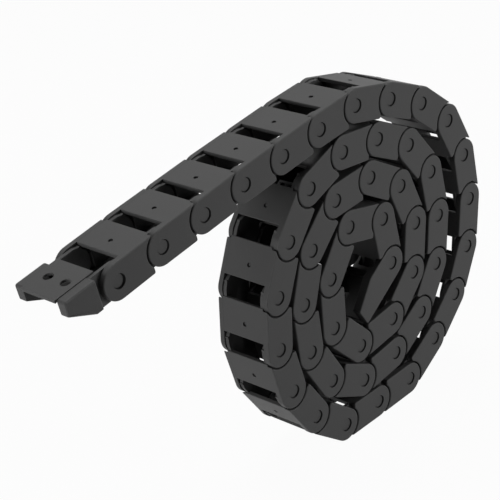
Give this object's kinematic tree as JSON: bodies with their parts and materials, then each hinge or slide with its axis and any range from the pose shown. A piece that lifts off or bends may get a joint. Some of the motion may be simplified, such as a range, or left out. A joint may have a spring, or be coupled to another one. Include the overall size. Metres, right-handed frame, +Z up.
{
  "type": "cable drag chain",
  "caption": "Moulded cable drag chain wound into a coil that stands on its rim, with a screw bracket at each end and a hinge at every link.",
  "frame": {"origin": "on the floor, below the middle of the chain's box", "axes": "+Z up, +Y across the chain, +X from the loose tail towards the coil"},
  "size_m": [0.214, 0.0236, 0.1359],
  "materials": {
    "black_nylon": "satin moulded nylon"
  },
  "bodies": {
    "tail_end_connector": {"tail_end_connector": "black_nylon"},
    "link_01": {"link_01": "black_nylon"},
    "link_02": {"link_02": "black_nylon"},
    "link_03": {"link_03": "black_nylon"},
    "link_04": {"link_04": "black_nylon"},
    "link_05": {"link_05": "black_nylon"},
    "link_06": {"link_06": "black_nylon"},
    "link_07": {"link_07": "black_nylon"},
    "link_08": {"link_08": "black_nylon"},
    "link_09": {"link_09": "black_nylon"},
    "link_10": {"link_10": "black_nylon"},
    "link_11": {"link_11": "black_nylon"},
    "link_12": {"link_12": "black_nylon"},
    "link_13": {"link_13": "black_nylon"},
    "link_14": {"link_14": "black_nylon"},
    "link_15": {"link_15": "black_nylon"},
    "link_16": {"link_16": "black_nylon"},
    "link_17": {"link_17": "black_nylon"},
    "link_18": {"link_18": "black_nylon"},
    "link_19": {"link_19": "black_nylon"},
    "link_20": {"link_20": "black_nylon"},
    "link_21": {"link_21": "black_nylon"},
    "link_22": {"link_22": "black_nylon"},
    "link_23": {"link_23": "black_nylon"},
    "link_24": {"link_24": "black_nylon"},
    "link_25": {"link_25": "black_nylon"},
    "link_26": {"link_26": "black_nylon"},
    "link_27": {"link_27": "black_nylon"},
    "link_28": {"link_28": "black_nylon"},
    "link_29": {"link_29": "black_nylon"},
    "link_30": {"link_30": "black_nylon"},
    "link_31": {"link_31": "black_nylon"},
    "link_32": {"link_32": "black_nylon"},
    "link_33": {"link_33": "black_nylon"},
    "link_34": {"link_34": "black_nylon"},
    "link_35": {"link_35": "black_nylon"},
    "link_36": {"link_36": "black_nylon"},
    "link_37": {"link_37": "black_nylon"},
    "link_38": {"link_38": "black_nylon"},
    "link_39": {"link_39": "black_nylon"},
    "link_40": {"link_40": "black_nylon"},
    "link_41": {"link_41": "black_nylon"},
    "link_42": {"link_42": "black_nylon"},
    "link_43": {"link_43": "black_nylon"},
    "link_44": {"link_44": "black_nylon"},
    "link_45": {"link_45": "black_nylon"},
    "link_46": {"link_46": "black_nylon"},
    "link_47": {"link_47": "black_nylon"},
    "link_48": {"link_48": "black_nylon"},
    "inner_end_connector": {"inner_end_connector": "black_nylon"}
  },
  "joints": [
    {"name": "pin_00", "type": "hinge", "parent": "link_01", "child": "tail_end_connector", "pos_m": [-0.08409, 0, 0.11206], "axis": [0, -1, 0], "range_deg": [0, 67]},
    {"name": "pin_01", "type": "hinge", "parent": "link_02", "child": "link_01", "pos_m": [-0.06439, 0, 0.11553], "axis": [0, -1, 0], "range_deg": [-1, 66]},
    {"name": "pin_02", "type": "hinge", "parent": "link_03", "child": "link_02", "pos_m": [-0.04464, 0, 0.11866], "axis": [0, -1, 0], "range_deg": [0, 16]},
    {"name": "pin_03", "type": "hinge", "parent": "link_04", "child": "link_03", "pos_m": [-0.02488, 0, 0.12179], "axis": [0, -1, 0], "range_deg": [-1, 66]},
    {"name": "pin_04", "type": "hinge", "parent": "link_05", "child": "link_04", "pos_m": [-0.00508, 0, 0.12457], "axis": [0, -1, 0], "range_deg": [0, 67]},
    {"name": "pin_05", "type": "hinge", "parent": "link_06", "child": "link_05", "pos_m": [0.01473, 0, 0.12736], "axis": [0, -1, 0], "range_deg": [-2, 65]},
    {"name": "pin_06", "type": "hinge", "parent": "link_07", "child": "link_06", "pos_m": [0.03462, 0, 0.12945], "axis": [0, -1, 0], "range_deg": [-18, 49]},
    {"name": "pin_07", "type": "hinge", "parent": "link_08", "child": "link_07", "pos_m": [0.05418, 0, 0.12529], "axis": [0, -1, 0], "range_deg": [-11, 56]},
    {"name": "pin_08", "type": "hinge", "parent": "link_09", "child": "link_08", "pos_m": [0.07259, 0, 0.11747], "axis": [0, -1, 0], "range_deg": [-15, 52]},
    {"name": "pin_09", "type": "hinge", "parent": "link_10", "child": "link_09", "pos_m": [0.08835, 0, 0.10516], "axis": [0, -1, 0], "range_deg": [-24, 43]},
    {"name": "pin_10", "type": "hinge", "parent": "link_11", "child": "link_10", "pos_m": [0.09774, 0, 0.0875], "axis": [0, -1, 0], "range_deg": [-20, 47]},
    {"name": "pin_11", "type": "hinge", "parent": "link_12", "child": "link_11", "pos_m": [0.10053, 0, 0.0677], "axis": [0, -1, 0], "range_deg": [-16, 51]},
    {"name": "pin_12", "type": "hinge", "parent": "link_13", "child": "link_12", "pos_m": [0.09774, 0, 0.04789], "axis": [0, -1, 0], "range_deg": [-20, 47]},
    {"name": "pin_13", "type": "hinge", "parent": "link_14", "child": "link_13", "pos_m": [0.08835, 0, 0.03023], "axis": [0, -1, 0], "range_deg": [-20, 47]},
    {"name": "pin_14", "type": "hinge", "parent": "link_15", "child": "link_14", "pos_m": [0.07349, 0, 0.01685], "axis": [0, -1, 0], "range_deg": [-12, 55]},
    {"name": "pin_15", "type": "hinge", "parent": "link_16", "child": "link_15", "pos_m": [0.05617, 0, 0.00685], "axis": [0, -1, 0], "range_deg": [-29, 38]},
    {"name": "pin_16", "type": "hinge", "parent": "link_17", "child": "link_16", "pos_m": [0.03617, 0, 0.0065], "axis": [0, -1, 0], "range_deg": [-1, 66]},
    {"name": "pin_17", "type": "hinge", "parent": "link_17", "child": "link_18", "pos_m": [0.01617, 0, 0.0065], "axis": [0, 1, 0], "range_deg": [-37, 30]},
    {"name": "pin_18", "type": "hinge", "parent": "link_18", "child": "link_19", "pos_m": [0.0002, 0, 0.01854], "axis": [0, 1, 0], "range_deg": [-19, 48]},
    {"name": "pin_19", "type": "hinge", "parent": "link_19", "child": "link_20", "pos_m": [-0.01098, 0, 0.03512], "axis": [0, 1, 0], "range_deg": [-20, 47]},
    {"name": "pin_20", "type": "hinge", "parent": "link_20", "child": "link_21", "pos_m": [-0.01582, 0, 0.05452], "axis": [0, 1, 0], "range_deg": [-19, 48]},
    {"name": "pin_21", "type": "hinge", "parent": "link_21", "child": "link_22", "pos_m": [-0.01408, 0, 0.07445], "axis": [0, 1, 0], "range_deg": [-19, 48]},
    {"name": "pin_22", "type": "hinge", "parent": "link_22", "child": "link_23", "pos_m": [-0.00595, 0, 0.09272], "axis": [0, 1, 0], "range_deg": [-16, 51]},
    {"name": "pin_23", "type": "hinge", "parent": "link_23", "child": "link_24", "pos_m": [0.00691, 0, 0.10804], "axis": [0, 1, 0], "range_deg": [-30, 37]},
    {"name": "pin_24", "type": "hinge", "parent": "link_24", "child": "link_25", "pos_m": [0.0257, 0, 0.11488], "axis": [0, 1, 0], "range_deg": [-26, 41]},
    {"name": "pin_25", "type": "hinge", "parent": "link_25", "child": "link_26", "pos_m": [0.04559, 0, 0.11279], "axis": [0, 1, 0], "range_deg": [-20, 47]},
    {"name": "pin_26", "type": "hinge", "parent": "link_26", "child": "link_27", "pos_m": [0.06357, 0, 0.10402], "axis": [0, 1, 0], "range_deg": [-25, 42]},
    {"name": "pin_27", "type": "hinge", "parent": "link_27", "child": "link_28", "pos_m": [0.07616, 0, 0.08848], "axis": [0, 1, 0], "range_deg": [-29, 38]},
    {"name": "pin_28", "type": "hinge", "parent": "link_28", "child": "link_29", "pos_m": [0.07963, 0, 0.06878], "axis": [0, 1, 0], "range_deg": [-18, 49]},
    {"name": "pin_29", "type": "hinge", "parent": "link_29", "child": "link_30", "pos_m": [0.07685, 0, 0.04898], "axis": [0, 1, 0], "range_deg": [-26, 41]},
    {"name": "pin_30", "type": "hinge", "parent": "link_30", "child": "link_31", "pos_m": [0.06566, 0, 0.0324], "axis": [0, 1, 0], "range_deg": [-26, 41]},
    {"name": "pin_31", "type": "hinge", "parent": "link_31", "child": "link_32", "pos_m": [0.04834, 0, 0.0224], "axis": [0, 1, 0], "range_deg": [-23, 44]},
    {"name": "pin_32", "type": "hinge", "parent": "link_32", "child": "link_33", "pos_m": [0.02849, 0, 0.01996], "axis": [0, 1, 0], "range_deg": [-33, 34]},
    {"name": "pin_33", "type": "hinge", "parent": "link_33", "child": "link_34", "pos_m": [0.01052, 0, 0.02873], "axis": [0, 1, 0], "range_deg": [-33, 34]},
    {"name": "pin_34", "type": "hinge", "parent": "link_34", "child": "link_35", "pos_m": [0.00021, 0, 0.04587], "axis": [0, 1, 0], "range_deg": [-27, 40]},
    {"name": "pin_35", "type": "hinge", "parent": "link_35", "child": "link_36", "pos_m": [-0.00118, 0, 0.06582], "axis": [0, 1, 0], "range_deg": [-23, 44]},
    {"name": "pin_36", "type": "hinge", "parent": "link_36", "child": "link_37", "pos_m": [0.00533, 0, 0.08473], "axis": [0, 1, 0], "range_deg": [-28, 39]},
    {"name": "pin_37", "type": "hinge", "parent": "link_37", "child": "link_38", "pos_m": [0.01996, 0, 0.09837], "axis": [0, 1, 0], "range_deg": [-39, 28]},
    {"name": "pin_38", "type": "hinge", "parent": "link_38", "child": "link_39", "pos_m": [0.03991, 0, 0.09977], "axis": [0, 1, 0], "range_deg": [-34, 33]},
    {"name": "pin_39", "type": "hinge", "parent": "link_39", "child": "link_40", "pos_m": [0.05723, 0, 0.08977], "axis": [0, 1, 0], "range_deg": [-37, 30]},
    {"name": "pin_40", "type": "hinge", "parent": "link_40", "child": "link_41", "pos_m": [0.06504, 0, 0.07136], "axis": [0, 1, 0], "range_deg": [-31, 36]},
    {"name": "pin_41", "type": "hinge", "parent": "link_41", "child": "link_42", "pos_m": [0.06226, 0, 0.05155], "axis": [0, 1, 0], "range_deg": [-38, 29]},
    {"name": "pin_42", "type": "hinge", "parent": "link_42", "child": "link_43", "pos_m": [0.04787, 0, 0.03766], "axis": [0, 1, 0], "range_deg": [-37, 30]},
    {"name": "pin_43", "type": "hinge", "parent": "link_43", "child": "link_44", "pos_m": [0.02802, 0, 0.03522], "axis": [0, 1, 0], "range_deg": [-52, 15]},
    {"name": "pin_44", "type": "hinge", "parent": "link_44", "child": "link_45", "pos_m": [0.01388, 0, 0.04936], "axis": [0, 1, 0], "range_deg": [-46, 21]},
    {"name": "pin_45", "type": "hinge", "parent": "link_45", "child": "link_46", "pos_m": [0.01423, 0, 0.06936], "axis": [0, 1, 0], "range_deg": [-36, 31]},
    {"name": "pin_46", "type": "hinge", "parent": "link_46", "child": "link_47", "pos_m": [0.02627, 0, 0.08533], "axis": [0, 1, 0], "range_deg": [-66, 1]},
    {"name": "pin_47", "type": "hinge", "parent": "link_47", "child": "link_48", "pos_m": [0.04575, 0, 0.08083], "axis": [0, 1, 0], "range_deg": [-67, 0]},
    {"name": "pin_48", "type": "hinge", "parent": "link_48", "child": "inner_end_connector", "pos_m": [0.04923, 0, 0.06114], "axis": [0, 1, 0], "range_deg": [-67, 0]}
  ],
  "couplings": [
    {"joint": "pin_00", "follows": "pin_02", "ratio": 1},
    {"joint": "pin_01", "follows": "pin_02", "ratio": 1},
    {"joint": "pin_03", "follows": "pin_02", "ratio": 1},
    {"joint": "pin_04", "follows": "pin_02", "ratio": 1},
    {"joint": "pin_05", "follows": "pin_02", "ratio": 1},
    {"joint": "pin_06", "follows": "pin_48", "ratio": 0.26866},
    {"joint": "pin_07", "follows": "pin_48", "ratio": 0.16418},
    {"joint": "pin_08", "follows": "pin_47", "ratio": 0.22388},
    {"joint": "pin_09", "follows": "pin_48", "ratio": 0.35821},
    {"joint": "pin_10", "follows": "pin_48", "ratio": 0.29851},
    {"joint": "pin_11", "follows": "pin_47", "ratio": 0.2388},
    {"joint": "pin_12", "follows": "pin_47", "ratio": 0.29851},
    {"joint": "pin_13", "follows": "pin_47", "ratio": 0.29851},
    {"joint": "pin_14", "follows": "pin_47", "ratio": 0.1791},
    {"joint": "pin_15", "follows": "pin_48", "ratio": 0.43284},
    {"joint": "pin_16", "follows": "pin_48", "ratio": 0.014925},
    {"joint": "pin_17", "follows": "pin_47", "ratio": 0.55224},
    {"joint": "pin_18", "follows": "pin_48", "ratio": 0.28358},
    {"joint": "pin_19", "follows": "pin_47", "ratio": 0.29851},
    {"joint": "pin_20", "follows": "pin_48", "ratio": 0.28358},
    {"joint": "pin_21", "follows": "pin_47", "ratio": 0.28358},
    {"joint": "pin_22", "follows": "pin_47", "ratio": 0.2388},
    {"joint": "pin_23", "follows": "pin_48", "ratio": 0.44776},
    {"joint": "pin_24", "follows": "pin_47", "ratio": 0.38806},
    {"joint": "pin_25", "follows": "pin_47", "ratio": 0.29851},
    {"joint": "pin_26", "follows": "pin_48", "ratio": 0.37313},
    {"joint": "pin_27", "follows": "pin_48", "ratio": 0.43284},
    {"joint": "pin_28", "follows": "pin_47", "ratio": 0.26866},
    {"joint": "pin_29", "follows": "pin_47", "ratio": 0.38806},
    {"joint": "pin_30", "follows": "pin_47", "ratio": 0.38806},
    {"joint": "pin_31", "follows": "pin_48", "ratio": 0.34328},
    {"joint": "pin_32", "follows": "pin_48", "ratio": 0.49254},
    {"joint": "pin_33", "follows": "pin_47", "ratio": 0.49254},
    {"joint": "pin_34", "follows": "pin_48", "ratio": 0.40298},
    {"joint": "pin_35", "follows": "pin_47", "ratio": 0.34328},
    {"joint": "pin_36", "follows": "pin_47", "ratio": 0.41791},
    {"joint": "pin_37", "follows": "pin_48", "ratio": 0.58209},
    {"joint": "pin_38", "follows": "pin_47", "ratio": 0.50746},
    {"joint": "pin_39", "follows": "pin_48", "ratio": 0.55224},
    {"joint": "pin_40", "follows": "pin_47", "ratio": 0.46269},
    {"joint": "pin_41", "follows": "pin_48", "ratio": 0.56716},
    {"joint": "pin_42", "follows": "pin_47", "ratio": 0.55224},
    {"joint": "pin_43", "follows": "pin_48", "ratio": 0.77612},
    {"joint": "pin_44", "follows": "pin_47", "ratio": 0.68657},
    {"joint": "pin_45", "follows": "pin_48", "ratio": 0.53731},
    {"joint": "pin_46", "follows": "pin_48", "ratio": 0.98507}
  ]
}
